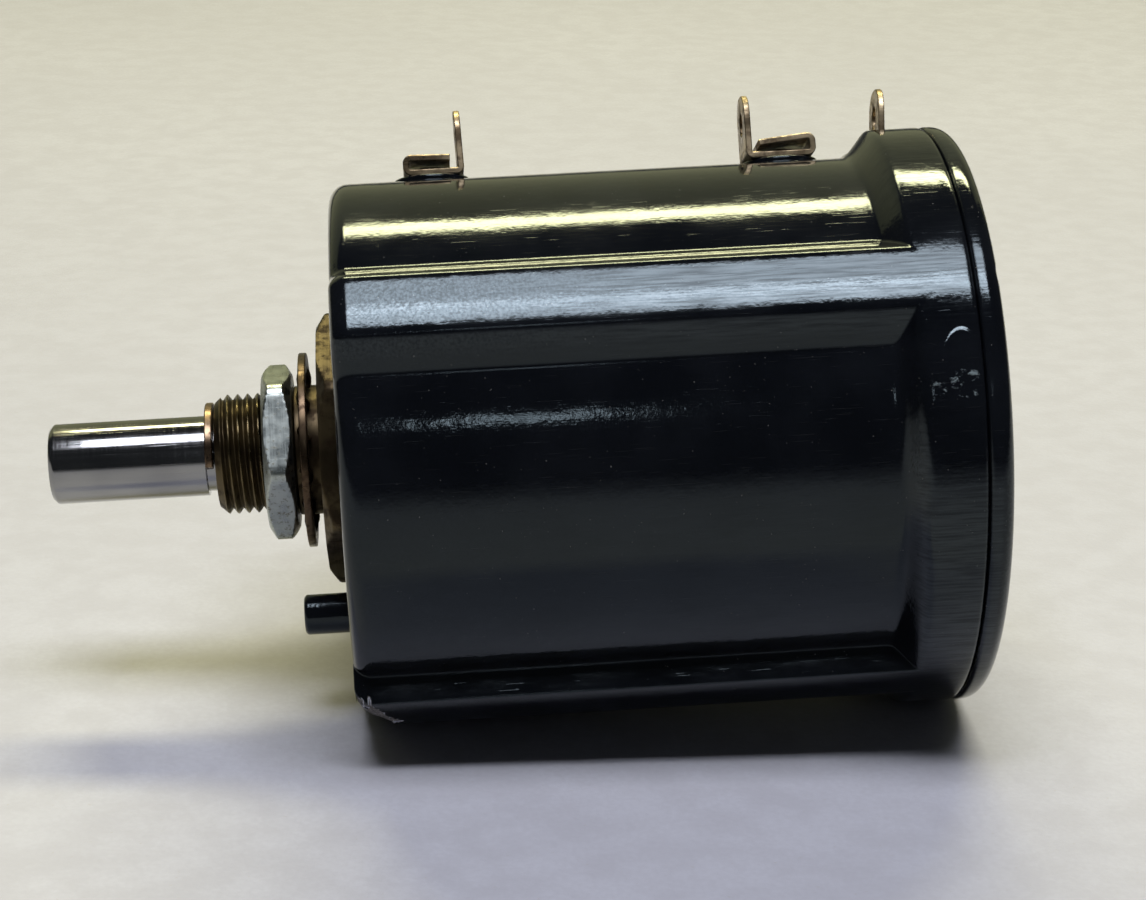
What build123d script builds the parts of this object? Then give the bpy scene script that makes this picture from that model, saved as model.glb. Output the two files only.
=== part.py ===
from build123d import *
import os
from math import atan2, cos, degrees, hypot, radians, sin

# Ten-turn wire-wound potentiometer for panel mounting, in millimetres.
# +X runs along the shaft from its tip to the rear lid and +Z is up as the unit lies.
# The origin is where the shaft axis meets the mounting face, the front of the hexagonal flange.
# Angles about the shaft are measured from +Y towards +Z.

os.makedirs("parts", exist_ok=True)

# Driving dimensions ---------------------------------------------------------

shaft_r = 6.35 / 2  # quarter-inch shaft
shaft_tip = -21.5
shaft_chamfer = 0.35
journal_r = 2.0  # thin rear end that runs in the lid
running_gap = 0.04  # radial clearance of a turning or sliding fit

thread_r = 9.525 / 2  # three-eighths bushing thread, 32 to the inch
bushing_tip = -8.4
pilot_r = 5.15
pilot_length = 2.15
hex_flange_across = 19.05
hex_flange_thick = 1.65
hex_flange_corner = 15.0  # angle of one corner

nut_across = 12.7
nut_thick = 2.35
nut_corner = 57.0
nut_rear = -2.2

washer_outer_r = 7.75
washer_ring_r = 6.4
washer_tooth_r = 5.25
washer_centre = -1.25
washer_thick = 0.6
washer_teeth = 12

case_front = hex_flange_thick
case_rear = 48.8
lid_thick = 2.0
lid_rear = case_rear + lid_thick
outer_r = 46.04 / 2  # rear flange
rib_r = outer_r - 0.02
floor_r = 20.9  # recessed faces between the ribs
bore_r = 19.65
front_wall = 3.0
bore_front = case_front + front_wall
rib_count = 4
rib_start = 45.0
rib_half_angle = 6.15
rib_foot_half_angle = 12.15
slope_front = 42.6  # the recess floors climb to the flange between these two stations
slope_rear = 44.8
slope_foot = slope_front - (slope_rear - slope_front) / (outer_r - floor_r)
corner_r = 1.5
edge_break = 0.3

pin_r = 1.6  # moulded locating pin beside the bushing
pin_circle_r = 13.13
pin_reach = 2.2
pin_angle = 246.0

terminal_angle = 66.0
terminal_width = 4.8
terminal_thick = 0.5
terminal_seat_r = 21.25  # also the floor of the notch behind the wiper terminal
terminal_top_r = 26.75
eye_r = 0.95
eye_drop = 2.3
rivet_head_thick = 0.35
boss_r = 3.1
notch_half_angle = 10.5

coil_turns = 10
coil_pitch = 3.0
coil_r = 18.6
coil_front = 9.0
winding_r = 1.0
mandrel_r = 0.78

hub_r = 16.5
hub_thick = 1.7
front_hub_front = 5.15
rear_hub_front = 41.2
collar_r = 6.0
collar_length = 2.75
slip_ring_r = 8.0
slip_ring_seat_r = 7.0
slip_ring_front = 43.6
slip_ring_width = 2.0
boss_rear = 45.9

rod_r = 1.0
rod_depth = 10.6  # distance of the guide rods from the shaft axis, towards the carriage
rod_half_gap = 4.2
bar_r = 0.6
bar_depth = 7.2

carriage_half = 1.9
block_inner = 8.4
block_outer = 13.2
block_half_width = 6.5

# The carriage rests straight below the shaft, four turns and a bit from the front stop.
carriage_angle = 270.0
rest_turns = 4 + (carriage_angle - terminal_angle) / 360
carriage_x = coil_front + rest_turns * coil_pitch

axial = Plane(origin=(0, 0, 0), x_dir=(0, 1, 0), z_dir=(1, 0, 0))
terminal_plane = Plane(
    origin=(0, 0, 0),
    x_dir=(1, 0, 0),
    z_dir=(0, -sin(radians(terminal_angle)), cos(radians(terminal_angle))),
)
# Looking back along the shaft with the carriage upward: local x is +Y, local y is outward.
carriage_plane = Plane(origin=(carriage_x, 0, 0), x_dir=(0, 1, 0), z_dir=(-1, 0, 0))


def polar(radius, angle):
    return radius * cos(radians(angle)), radius * sin(radians(angle))


def seat(radius, angle, station):
    """A sketch plane on a radius about the shaft, facing outward, at a station along it."""
    y, z = polar(1, angle)
    return Plane(origin=(station, radius * y, radius * z), x_dir=(1, 0, 0), z_dir=(0, y, z))


def write(builder, label):
    builder.part.label = label
    export_step(builder.part, f"parts/{label}.step")


def turned(profile):
    """A closed outline of (station, radius) points turned about the shaft axis."""
    with BuildPart() as body:
        with BuildSketch(Plane.XY):
            with BuildLine():
                Polyline(*profile, close=True)
            make_face()
        revolve(axis=Axis.X)
    return body.part


def ring(front, rear, inner, outer):
    return turned([(front, inner), (front, outer), (rear, outer), (rear, inner)])


# Case -----------------------------------------------------------------------

rib_tip = [polar(rib_r, a) for a in (-rib_half_angle, 0, rib_half_angle)]
rib_foot = [polar(floor_r, a) for a in (-rib_foot_half_angle, rib_foot_half_angle)]
rib_root = [polar(floor_r - 1, a) for a in (-rib_foot_half_angle, rib_foot_half_angle)]

with BuildSketch() as rib_section:
    with BuildLine():
        ThreePointArc(*rib_tip)
        Polyline(rib_tip[2], rib_foot[1], rib_root[1], rib_root[0], rib_foot[0], rib_tip[0])
    make_face()

with BuildPart() as housing:
    with BuildSketch(axial.offset(case_front)):
        Circle(floor_r)
        with PolarLocations(0, rib_count, start_angle=rib_start):
            add(rib_section.sketch)
    extrude(amount=slope_rear + 0.5 - case_front)
    front_edges = housing.faces().sort_by(Axis.X)[0].outer_wire().edges()
    fillet(front_edges, corner_r)
    # Rear flange, with the slope that the recess floors climb.
    with BuildSketch(Plane.XY):
        with BuildLine():
            Polyline(
                (slope_foot, 0),
                (slope_foot, floor_r - 1),
                (slope_rear, outer_r),
                (case_rear - edge_break, outer_r),
                (case_rear, outer_r - edge_break),
                (case_rear, 0),
                close=True,
            )
        make_face()
    revolve(axis=Axis.X)
    # The flange is cut away where the wiper terminal sits, down to the level of the terminals' seats.
    with BuildSketch(axial.offset(slope_foot)):
        with BuildLine():
            notch = [polar(outer_r + 1, terminal_angle + a) for a in (-notch_half_angle, notch_half_angle)]
            low = [polar(terminal_seat_r, terminal_angle + a) for a in (-notch_half_angle, 0, notch_half_angle)]
            ThreePointArc(*low)
            Polyline(low[2], notch[1], notch[0], low[0])
        make_face()
    extrude(amount=case_rear + 1 - slope_foot, mode=Mode.SUBTRACT)
    # Hole for the bushing's barrel, and the bore for the coil and rotor.
    with BuildSketch(Plane.XY):
        with BuildLine():
            Polyline(
                (case_front - 1, 0),
                (case_front - 1, collar_r),
                (bore_front, collar_r),
                (bore_front, bore_r),
                (case_rear + 1, bore_r),
                (case_rear + 1, 0),
                close=True,
            )
        make_face()
    revolve(axis=Axis.X, mode=Mode.SUBTRACT)
    # Locating pin.
    with BuildSketch(axial.offset(-pin_reach)):
        with Locations(polar(pin_circle_r, pin_angle)):
            Circle(pin_r)
    extrude(amount=pin_reach + case_front + 0.5)
    chamfer(housing.faces().sort_by(Axis.X)[0].edges(), 0.2)

# Station, shank radius and head radius of each terminal's rivet; the wiper's is the last.
rivets = ((9.85, 1.1, 1.65), (38.1, 1.1, 1.65), (47.3, 0.6, 0.82))

with BuildPart(mode=Mode.PRIVATE) as terminal_bosses:
    for station, _, _ in rivets[:2]:
        with BuildSketch(seat(floor_r - 0.5, terminal_angle, station)):
            Circle(boss_r)
        extrude(amount=terminal_seat_r - floor_r + 0.5)

with BuildPart(mode=Mode.PRIVATE) as rivet_holes:
    for station, shank_r, _ in rivets:
        with BuildSketch(seat(bore_r - 1, terminal_angle, station)):
            Circle(shank_r)
        extrude(amount=4)

screw_r = 0.95
screw_head_r = 1.45
screw_head_thick = 1.1
screw_circle_r = 20.9
screw_front = 42.0
screw_seat = lid_rear - screw_head_thick - 0.2

with BuildPart(mode=Mode.PRIVATE) as screw_holes:
    with BuildSketch(axial.offset(screw_front)):
        with PolarLocations(screw_circle_r, rib_count, start_angle=rib_start):
            Circle(screw_r)
    extrude(amount=lid_rear - screw_front)

with BuildPart() as finished_housing:
    add(housing.part)
    add(terminal_bosses.part)
    add(rivet_holes.part, mode=Mode.SUBTRACT)
    add(screw_holes.part, mode=Mode.SUBTRACT)
write(finished_housing, "housing")

# Rear lid with its bearing -----------------------------------------------------

bearing_r = 3.2
bearing_front = 46.8
bearing_rear = 49.95
lid_boss_r = 5.5
spigot_front = 47.9

with BuildPart() as rear_lid:
    with BuildSketch(Plane.XY):
        with BuildLine():
            Polyline(
                (bearing_front, bearing_r),
                (bearing_front, lid_boss_r),
                (case_rear, lid_boss_r),
                (case_rear, bore_r - 2),
                (spigot_front, bore_r - 2),
                (spigot_front, bore_r - 0.05),
                (case_rear, bore_r - 0.05),
                (case_rear, outer_r - edge_break),
                (case_rear + edge_break, outer_r),
                (lid_rear, outer_r),
                (lid_rear, 0),
                (bearing_rear, 0),
                (bearing_rear, bearing_r),
                close=True,
            )
        make_face()
    revolve(axis=Axis.X)
    rear_rim = rear_lid.edges().filter_by(GeomType.CIRCLE).group_by(Axis.X)[-1]
    fillet(rear_rim, 1.2)
    add(screw_holes.part, mode=Mode.SUBTRACT)
    with BuildSketch(axial.offset(screw_seat)):
        with PolarLocations(screw_circle_r, rib_count, start_angle=rib_start):
            Circle(screw_head_r + 0.1)
    extrude(amount=lid_rear - screw_seat, mode=Mode.SUBTRACT)
write(rear_lid, "rear_lid")

with BuildPart() as rear_bearing:
    add(ring(bearing_front, bearing_rear, journal_r + running_gap, bearing_r))
write(rear_bearing, "rear_bearing")

with BuildPart() as lid_screws:
    with BuildSketch(axial.offset(screw_front)):
        with PolarLocations(screw_circle_r, rib_count, start_angle=rib_start):
            Circle(screw_r)
    extrude(amount=screw_seat - screw_front)
    with BuildSketch(axial.offset(screw_seat)):
        with PolarLocations(screw_circle_r, rib_count, start_angle=rib_start):
            Circle(screw_head_r)
    extrude(amount=screw_head_thick)
    with BuildSketch(axial.offset(screw_seat + screw_head_thick)):
        with PolarLocations(screw_circle_r, rib_count, start_angle=rib_start):
            Rectangle(0.5, 2 * screw_head_r + 0.2, rotation=30)
    extrude(amount=-0.5, mode=Mode.SUBTRACT)
write(lid_screws, "lid_screws")

# Bushing, nut and lock washer ----------------------------------------------------

with BuildPart() as bushing:
    with BuildSketch(axial):
        RegularPolygon(hex_flange_across / 2, 6, major_radius=False, rotation=hex_flange_corner)
    extrude(amount=hex_flange_thick)
    with BuildSketch(Plane.XY):
        with BuildLine():
            Polyline(
                (0, 0),
                (0, hex_flange_across / 2 + 0.35),
                (0.8, 10.8),
                (hex_flange_thick, 10.8),
                (hex_flange_thick, 0),
                close=True,
            )
        make_face()
    revolve(axis=Axis.X, mode=Mode.INTERSECT)
    with BuildSketch(Plane.XY):
        with BuildLine():
            Polyline(
                (bushing_tip, shaft_r),
                (bushing_tip, thread_r - 0.6),
                (bushing_tip + 0.6, thread_r),
                (-pilot_length, thread_r),
                (-pilot_length, pilot_r - 0.15),
                (-pilot_length + 0.15, pilot_r),
                (0.1, pilot_r),
                (0.1, collar_r),
                (bore_front, collar_r),
                (bore_front, shaft_r),
                close=True,
            )
        make_face()
    revolve(axis=Axis.X)
    with BuildSketch(axial.offset(bushing_tip)):
        Circle(shaft_r + running_gap)
    extrude(amount=bore_front - bushing_tip, mode=Mode.SUBTRACT)
write(bushing, "bushing")

with BuildPart() as panel_nut:
    with BuildSketch(axial.offset(nut_rear - nut_thick)):
        RegularPolygon(nut_across / 2, 6, major_radius=False, rotation=nut_corner)
    extrude(amount=nut_thick)
    with BuildSketch(Plane.XY):
        with BuildLine():
            Polyline(
                (nut_rear - nut_thick, 0),
                (nut_rear - nut_thick, nut_across / 2 + 0.1),
                (nut_rear - nut_thick + 0.55, 7.4),
                (nut_rear - 0.55, 7.4),
                (nut_rear, nut_across / 2 + 0.1),
                (nut_rear, 0),
                close=True,
            )
        make_face()
    revolve(axis=Axis.X, mode=Mode.INTERSECT)
    with BuildSketch(axial.offset(nut_rear - nut_thick)):
        Circle(thread_r + 0.05)
    extrude(amount=nut_thick, mode=Mode.SUBTRACT)
    bore_rims = panel_nut.edges().filter_by(GeomType.CIRCLE).filter_by(lambda e: e.radius < thread_r + 0.1)
    chamfer(bore_rims, 0.35)
write(panel_nut, "panel_nut")

with BuildPart() as lock_washer:
    with BuildSketch(axial.offset(washer_centre - washer_thick / 2)):
        Circle(washer_outer_r)
        Circle(washer_ring_r, mode=Mode.SUBTRACT)
    extrude(amount=washer_thick)
    tooth_length = washer_ring_r - washer_tooth_r + 0.3
    for tooth in range(washer_teeth):
        tooth_seat = seat(washer_tooth_r, tooth * 360 / washer_teeth, washer_centre)
        with BuildSketch(tooth_seat):
            Rectangle(1.3, 0.45, rotation=55)
        extrude(amount=tooth_length)
write(lock_washer, "lock_washer")

# Terminals ------------------------------------------------------------------------


def terminal(lug_front, foot_end, fold_gap, flap_drop):
    """A lug standing on a foot whose far end is folded back over it, as one bent strip."""
    towards = 1 if foot_end > lug_front else -1
    lug_near = lug_front + terminal_thick if towards > 0 else lug_front
    lug_far = lug_near - towards * terminal_thick
    foot_top = terminal_seat_r + terminal_thick
    fold_top = foot_top + fold_gap + terminal_thick
    flap_end = lug_near + towards * 0.9
    with BuildPart() as strip:
        with BuildSketch(terminal_plane):
            with BuildLine():
                Polyline(
                    (lug_far, terminal_seat_r),
                    (lug_far, terminal_top_r),
                    (lug_near, terminal_top_r),
                    (lug_near, foot_top),
                    (foot_end - towards * terminal_thick, foot_top),
                    (foot_end - towards * terminal_thick, foot_top + fold_gap),
                    (flap_end, foot_top + fold_gap - flap_drop),
                    (flap_end, fold_top - flap_drop),
                    (foot_end, fold_top),
                    (foot_end, terminal_seat_r),
                    close=True,
                )
            make_face()
        extrude(amount=terminal_width / 2, both=True)
        lug_corners = strip.edges().filter_by(Axis.X).filter_by(
            lambda e: hypot(e.center().Y, e.center().Z) > terminal_top_r - 0.1
        )
        fillet(lug_corners, terminal_width / 2 - 0.3)
        eye = seat(0, terminal_angle, (lug_near + lug_far) / 2)
        with BuildSketch(Plane(origin=eye.origin, x_dir=eye.z_dir, z_dir=(1, 0, 0))):
            with Locations((terminal_top_r - eye_drop, 0)):
                Circle(eye_r)
        extrude(amount=terminal_thick, both=True, mode=Mode.SUBTRACT)
        add(rivet_holes.part, mode=Mode.SUBTRACT)
    return strip


front_terminal = terminal(11.98, 7.6, 0.7, 0.15)
write(front_terminal, "front_terminal")
rear_terminal = terminal(35.2, 40.85, 0.95, 0.5)
write(rear_terminal, "rear_terminal")
wiper_terminal = terminal(45.95, 48.7, 0.7, 0.1)
write(wiper_terminal, "wiper_terminal")

with BuildPart() as terminal_rivets:
    for station, shank_r, head_r in rivets:
        with BuildSketch(seat(bore_r, terminal_angle, station)):
            Circle(shank_r)
        extrude(amount=terminal_seat_r + terminal_thick - bore_r)
        with BuildSketch(seat(terminal_seat_r + terminal_thick, terminal_angle, station)):
            Circle(head_r)
        extrude(amount=rivet_head_thick)
write(terminal_rivets, "terminal_rivets")

# Resistance element ------------------------------------------------------------------

coil_path = Edge.make_helix(
    pitch=coil_pitch,
    height=coil_pitch * coil_turns,
    radius=coil_r,
    center=(coil_front, 0, 0),
    normal=(1, 0, 0),
)
start = coil_path.position_at(0)
coil_path = coil_path.rotate(Axis.X, terminal_angle - degrees(atan2(start.Z, start.Y)))
coil_start = Plane(origin=coil_path.position_at(0), z_dir=coil_path.tangent_at(0))

with BuildPart() as resistance_winding:
    with BuildSketch(coil_start):
        Circle(winding_r)
        Circle(mandrel_r, mode=Mode.SUBTRACT)
    sweep(path=coil_path, is_frenet=True)
write(resistance_winding, "resistance_winding")

with BuildPart() as coil_mandrel:
    with BuildSketch(coil_start):
        Circle(mandrel_r)
    sweep(path=coil_path, is_frenet=True)
write(coil_mandrel, "coil_mandrel")


def stop_post(front, rear, angle):
    with BuildPart() as post:
        with BuildSketch(seat(16.9, angle, (front + rear) / 2)):
            Rectangle(rear - front, 1.6)
        extrude(amount=bore_r - 0.05 - 16.9)
        fillet(post.edges().filter_by(lambda e: e.length > 2.4).sort_by(Axis.X), 0.3)
    return post


stop_angle = 7.0
front_stop = stop_post(bore_front, 7.75, terminal_angle - stop_angle)
write(front_stop, "front_stop")
rear_stop = stop_post(40.25, 43.0, terminal_angle + stop_angle)
write(rear_stop, "rear_stop")

# Brush that takes the current from the slip ring to the middle terminal.
brush_half_width = 0.8
brush_x = slip_ring_front + slip_ring_width / 2
brush_r = slip_ring_r + 0.12
brush_foot_r = 19.3
brush_rear = spigot_front - 0.1
brush_foot = (-1.2, brush_foot_r)
brush_reach = hypot(*brush_foot)
brush_slope = degrees(atan2(brush_foot[1], brush_foot[0]))
touch_angle = brush_slope - degrees(atan2((brush_reach**2 - brush_r**2) ** 0.5, brush_r))
touch = polar(brush_r, touch_angle)
along = ((touch[0] - brush_foot[0]), (touch[1] - brush_foot[1]))
along = (along[0] / hypot(*along), along[1] / hypot(*along))
out = polar(1, touch_angle)
brush_thick = 0.25
tail = 1.5

# Looking along +X with the terminals upward: local x is sideways, local y is outward.
brush_plane = Plane(
    origin=(brush_x, 0, 0),
    x_dir=(0, sin(radians(terminal_angle)), -cos(radians(terminal_angle))),
    z_dir=(1, 0, 0),
)

with BuildPart() as pickup_brush:
    with BuildSketch(brush_plane):
        with BuildLine():
            Polyline(
                brush_foot,
                (touch[0] + along[0] * tail, touch[1] + along[1] * tail),
                (
                    touch[0] + along[0] * tail + out[0] * brush_thick,
                    touch[1] + along[1] * tail + out[1] * brush_thick,
                ),
                (brush_foot[0] + out[0] * brush_thick, brush_foot[1] + out[1] * brush_thick),
                close=True,
            )
        make_face()
    extrude(amount=brush_half_width, both=True)
    brush_front = brush_x - brush_half_width
    with BuildSketch(seat(brush_foot_r - 0.15, terminal_angle, (brush_front + brush_rear) / 2)):
        Rectangle(brush_rear - brush_front, 2.4)
    extrude(amount=0.4)
write(pickup_brush, "pickup_brush")

# Shaft and rotor -----------------------------------------------------------------------

ring_groove_r = 2.82
ring_front = -9.15
ring_thick = 0.6
ring_opening = 116.0
ring_opening_angle = 236.5
front_pin_x = front_hub_front + hub_thick + 1.4
rear_pin_x = rear_hub_front - 1.4
hub_pin_r = 0.8

with BuildPart(mode=Mode.PRIVATE) as pin_holes:
    with BuildSketch(Plane.XY):
        with Locations((front_pin_x, 0), (rear_pin_x, 0)):
            Circle(hub_pin_r)
    extrude(amount=collar_r, both=True)

with BuildPart() as shaft:
    add(
        turned(
            [
                (shaft_tip, 0),
                (shaft_tip, shaft_r - shaft_chamfer),
                (shaft_tip + shaft_chamfer, shaft_r),
                (ring_front - 0.05, shaft_r),
                (ring_front - 0.05, ring_groove_r),
                (ring_front + ring_thick + 0.05, ring_groove_r),
                (ring_front + ring_thick + 0.05, shaft_r),
                (boss_rear, shaft_r),
                (boss_rear, journal_r),
                (bearing_rear - 0.35, journal_r),
                (bearing_rear - 0.15, journal_r - 0.2),
                (bearing_rear - 0.15, 0),
            ]
        )
    )
    add(pin_holes.part, mode=Mode.SUBTRACT)
write(shaft, "shaft")

with BuildPart() as retaining_ring:
    with BuildSketch(axial.offset(ring_front)):
        Circle(4.2)
        Circle(ring_groove_r + 0.02, mode=Mode.SUBTRACT)
        with BuildLine():
            mouth = [
                polar(6, ring_opening_angle + a) for a in (-ring_opening / 2, 0, ring_opening / 2)
            ]
            Polyline((0, 0), mouth[0], mouth[1], mouth[2], close=True)
        make_face(mode=Mode.SUBTRACT)
    extrude(amount=ring_thick)
write(retaining_ring, "retaining_ring")

with BuildPart() as thrust_washer:
    add(ring(bore_front + 0.05, front_hub_front, shaft_r + running_gap, 6.2))
write(thrust_washer, "thrust_washer")

with BuildPart() as spacer_washer:
    add(ring(boss_rear + 0.05, bearing_front - 0.1, journal_r + running_gap, 4.4))
write(spacer_washer, "spacer_washer")


def rod_pair(length, start):
    """Two rods beside the shaft, on the carriage's side of it."""
    with BuildPart() as pair:
        with BuildSketch(carriage_plane.offset(carriage_x - start)):
            with Locations((-rod_half_gap, rod_depth), (rod_half_gap, rod_depth)):
                Circle(rod_r)
        extrude(amount=-length)
    return pair


rod_front = front_hub_front + 0.4
rod_rear = rear_hub_front + hub_thick - 0.4
guide_rods = rod_pair(rod_rear - rod_front, rod_front)
write(guide_rods, "guide_rods")

bar_front = front_hub_front + 0.6
with BuildPart() as contact_bar:
    with BuildSketch(carriage_plane.offset(carriage_x - bar_front)):
        with Locations((0, bar_depth)):
            Circle(bar_r)
    extrude(amount=-(slip_ring_front - bar_front))
write(contact_bar, "contact_bar")

with BuildPart() as front_hub:
    add(
        turned(
            [
                (front_hub_front, shaft_r),
                (front_hub_front, hub_r),
                (front_hub_front + hub_thick, hub_r),
                (front_hub_front + hub_thick, collar_r),
                (front_hub_front + hub_thick + collar_length, collar_r),
                (front_hub_front + hub_thick + collar_length, shaft_r),
            ]
        )
    )
    add(guide_rods.part, mode=Mode.SUBTRACT)
    add(contact_bar.part, mode=Mode.SUBTRACT)
    add(pin_holes.part, mode=Mode.SUBTRACT)
write(front_hub, "front_hub")

with BuildPart() as rear_hub:
    add(
        turned(
            [
                (rear_hub_front - collar_length, shaft_r),
                (rear_hub_front - collar_length, collar_r),
                (rear_hub_front, collar_r),
                (rear_hub_front, hub_r),
                (rear_hub_front + hub_thick, hub_r),
                (rear_hub_front + hub_thick, slip_ring_seat_r + 0.6),
                (slip_ring_front, slip_ring_seat_r + 0.6),
                (slip_ring_front, slip_ring_seat_r),
                (boss_rear, slip_ring_seat_r),
                (boss_rear, shaft_r),
            ]
        )
    )
    add(guide_rods.part, mode=Mode.SUBTRACT)
    add(contact_bar.part, mode=Mode.SUBTRACT)
    add(pin_holes.part, mode=Mode.SUBTRACT)
write(rear_hub, "rear_hub")

with BuildPart() as slip_ring:
    add(ring(slip_ring_front, slip_ring_front + slip_ring_width, slip_ring_seat_r, slip_ring_r))
write(slip_ring, "slip_ring")

with BuildPart() as hub_pins:
    with BuildSketch(Plane.XY):
        with Locations((front_pin_x, 0), (rear_pin_x, 0)):
            Circle(hub_pin_r)
    extrude(amount=collar_r - 0.1, both=True)
write(hub_pins, "hub_pins")

# Carriage that travels along the rods as the rotor turns ----------------------------------

with BuildPart() as slider_block:
    with BuildSketch(carriage_plane):
        with Locations((0, (block_inner + block_outer) / 2)):
            RectangleRounded(2 * block_half_width, block_outer - block_inner, 1.0)
        with Locations((-rod_half_gap, rod_depth), (rod_half_gap, rod_depth)):
            Circle(rod_r + running_gap + 0.01, mode=Mode.SUBTRACT)
    extrude(amount=carriage_half, both=True)
write(slider_block, "slider_block")

fork_inner = 1.3
fork_outer = 1.65
fork_half_width = 1.2
fork_root_r = 17.1
fork_tip_r = 18.5
crosswise_plane = Plane(origin=(carriage_x, 0, 0), x_dir=(1, 0, 0), z_dir=(0, 1, 0))

with BuildPart() as coil_follower:
    with BuildSketch(crosswise_plane):
        with BuildLine():
            Polyline(
                (-fork_outer, block_outer),
                (-fork_outer, fork_tip_r),
                (-fork_inner, fork_tip_r),
                (-fork_inner, fork_root_r),
                (fork_inner, fork_root_r),
                (fork_inner, fork_tip_r),
                (fork_outer, fork_tip_r),
                (fork_outer, block_outer),
                close=True,
            )
        make_face()
    extrude(amount=fork_half_width, both=True)
write(coil_follower, "coil_follower")

with BuildPart() as wiper_spring:
    with BuildSketch(carriage_plane):
        with BuildLine():
            Polyline(
                (6.0, block_outer),
                (4.2, block_outer),
                (4.2, block_outer + 0.25),
                (3.0, 16.35),
                (2.4, 16.35),
                (2.4, 16.6),
                (3.2, 16.6),
                (4.45, block_outer + 0.25),
                (6.0, block_outer + 0.25),
                close=True,
            )
        make_face()
    extrude(amount=0.6, both=True)
write(wiper_spring, "wiper_spring")

with BuildPart() as wiper_contact:
    with BuildSketch(Plane(origin=(carriage_x, 0, -16.6), x_dir=(1, 0, 0), z_dir=(0, 0, -1))):
        with Locations((0, -2.8)):
            Circle(0.4)
    extrude(amount=0.6)
    chamfer(wiper_contact.faces().sort_by(Axis.Z)[0].edges(), 0.15)
write(wiper_contact, "wiper_contact")

with BuildPart() as pickup_spring:
    with BuildSketch(crosswise_plane):
        with BuildLine():
            Polyline(
                (-1.7, block_inner),
                (-1.7, block_inner - 0.45),
                (1.7, block_inner - 0.45),
                (1.7, block_inner - 0.25),
                (-1.0, block_inner - 0.25),
                (-1.0, block_inner),
                close=True,
            )
        make_face()
    extrude(amount=1.0, both=True)
write(pickup_spring, "pickup_spring")
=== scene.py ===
from math import cos, hypot, pi, radians, sin, tau

import bmesh
import bpy
import numpy as np
from mathutils import Matrix, Vector, noise


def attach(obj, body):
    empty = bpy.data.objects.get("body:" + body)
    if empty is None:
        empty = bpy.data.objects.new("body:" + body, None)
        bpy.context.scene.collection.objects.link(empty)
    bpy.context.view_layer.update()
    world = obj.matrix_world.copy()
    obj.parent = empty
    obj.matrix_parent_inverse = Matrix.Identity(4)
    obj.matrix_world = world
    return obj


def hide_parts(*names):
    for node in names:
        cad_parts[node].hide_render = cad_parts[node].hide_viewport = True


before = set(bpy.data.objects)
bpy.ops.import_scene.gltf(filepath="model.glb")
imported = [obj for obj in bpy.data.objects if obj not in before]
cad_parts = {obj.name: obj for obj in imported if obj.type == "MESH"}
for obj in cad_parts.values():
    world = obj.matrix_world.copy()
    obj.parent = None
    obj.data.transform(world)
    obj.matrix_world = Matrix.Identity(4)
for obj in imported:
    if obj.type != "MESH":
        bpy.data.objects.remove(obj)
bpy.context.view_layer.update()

# A ten-turn wire-wound potentiometer lying on a pale table. Lengths in this script are millimetres
# in the CAD frame (+X from the shaft's tip to the rear lid, +Z up) until MM turns them into metres.
# Angles about the shaft run from +Y towards +Z.

MM = 0.001

# Camera ---------------------------------------------------------------------------

CAMERA_ELEVATION = radians(18.5)
CAMERA_DISTANCE = 215.0
CAMERA_X = 8.09
CAMERA_TURNS = (-0.0548, -0.0058, 0.0579)  # about its up, right and forward directions in turn
LENS = 84.27


def aim_camera():
    right = Vector((1, 0, 0))
    up = Vector((0, sin(CAMERA_ELEVATION), cos(CAMERA_ELEVATION)))
    ahead = Vector((0, cos(CAMERA_ELEVATION), -sin(CAMERA_ELEVATION)))
    turn = Matrix.Rotation(CAMERA_TURNS[0], 3, up)
    right, ahead = turn @ right, turn @ ahead
    turn = Matrix.Rotation(CAMERA_TURNS[1], 3, right)
    up, ahead = turn @ up, turn @ ahead
    turn = Matrix.Rotation(CAMERA_TURNS[2], 3, ahead)
    right, up = turn @ right, turn @ up
    data = bpy.data.cameras.new("camera")
    data.sensor_fit = "HORIZONTAL"
    data.sensor_width = 36
    data.lens = LENS
    data.clip_start = 0.01
    camera = bpy.data.objects.new("camera", data)
    bpy.context.scene.collection.objects.link(camera)
    place = Matrix((right, up, -ahead)).transposed().to_4x4()
    place.translation = Vector((
        CAMERA_X, -CAMERA_DISTANCE * cos(CAMERA_ELEVATION), CAMERA_DISTANCE * sin(CAMERA_ELEVATION)
    )) * MM
    camera.matrix_world = place
    bpy.context.scene.camera = camera


aim_camera()

# Materials --------------------------------------------------------------------------


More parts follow.
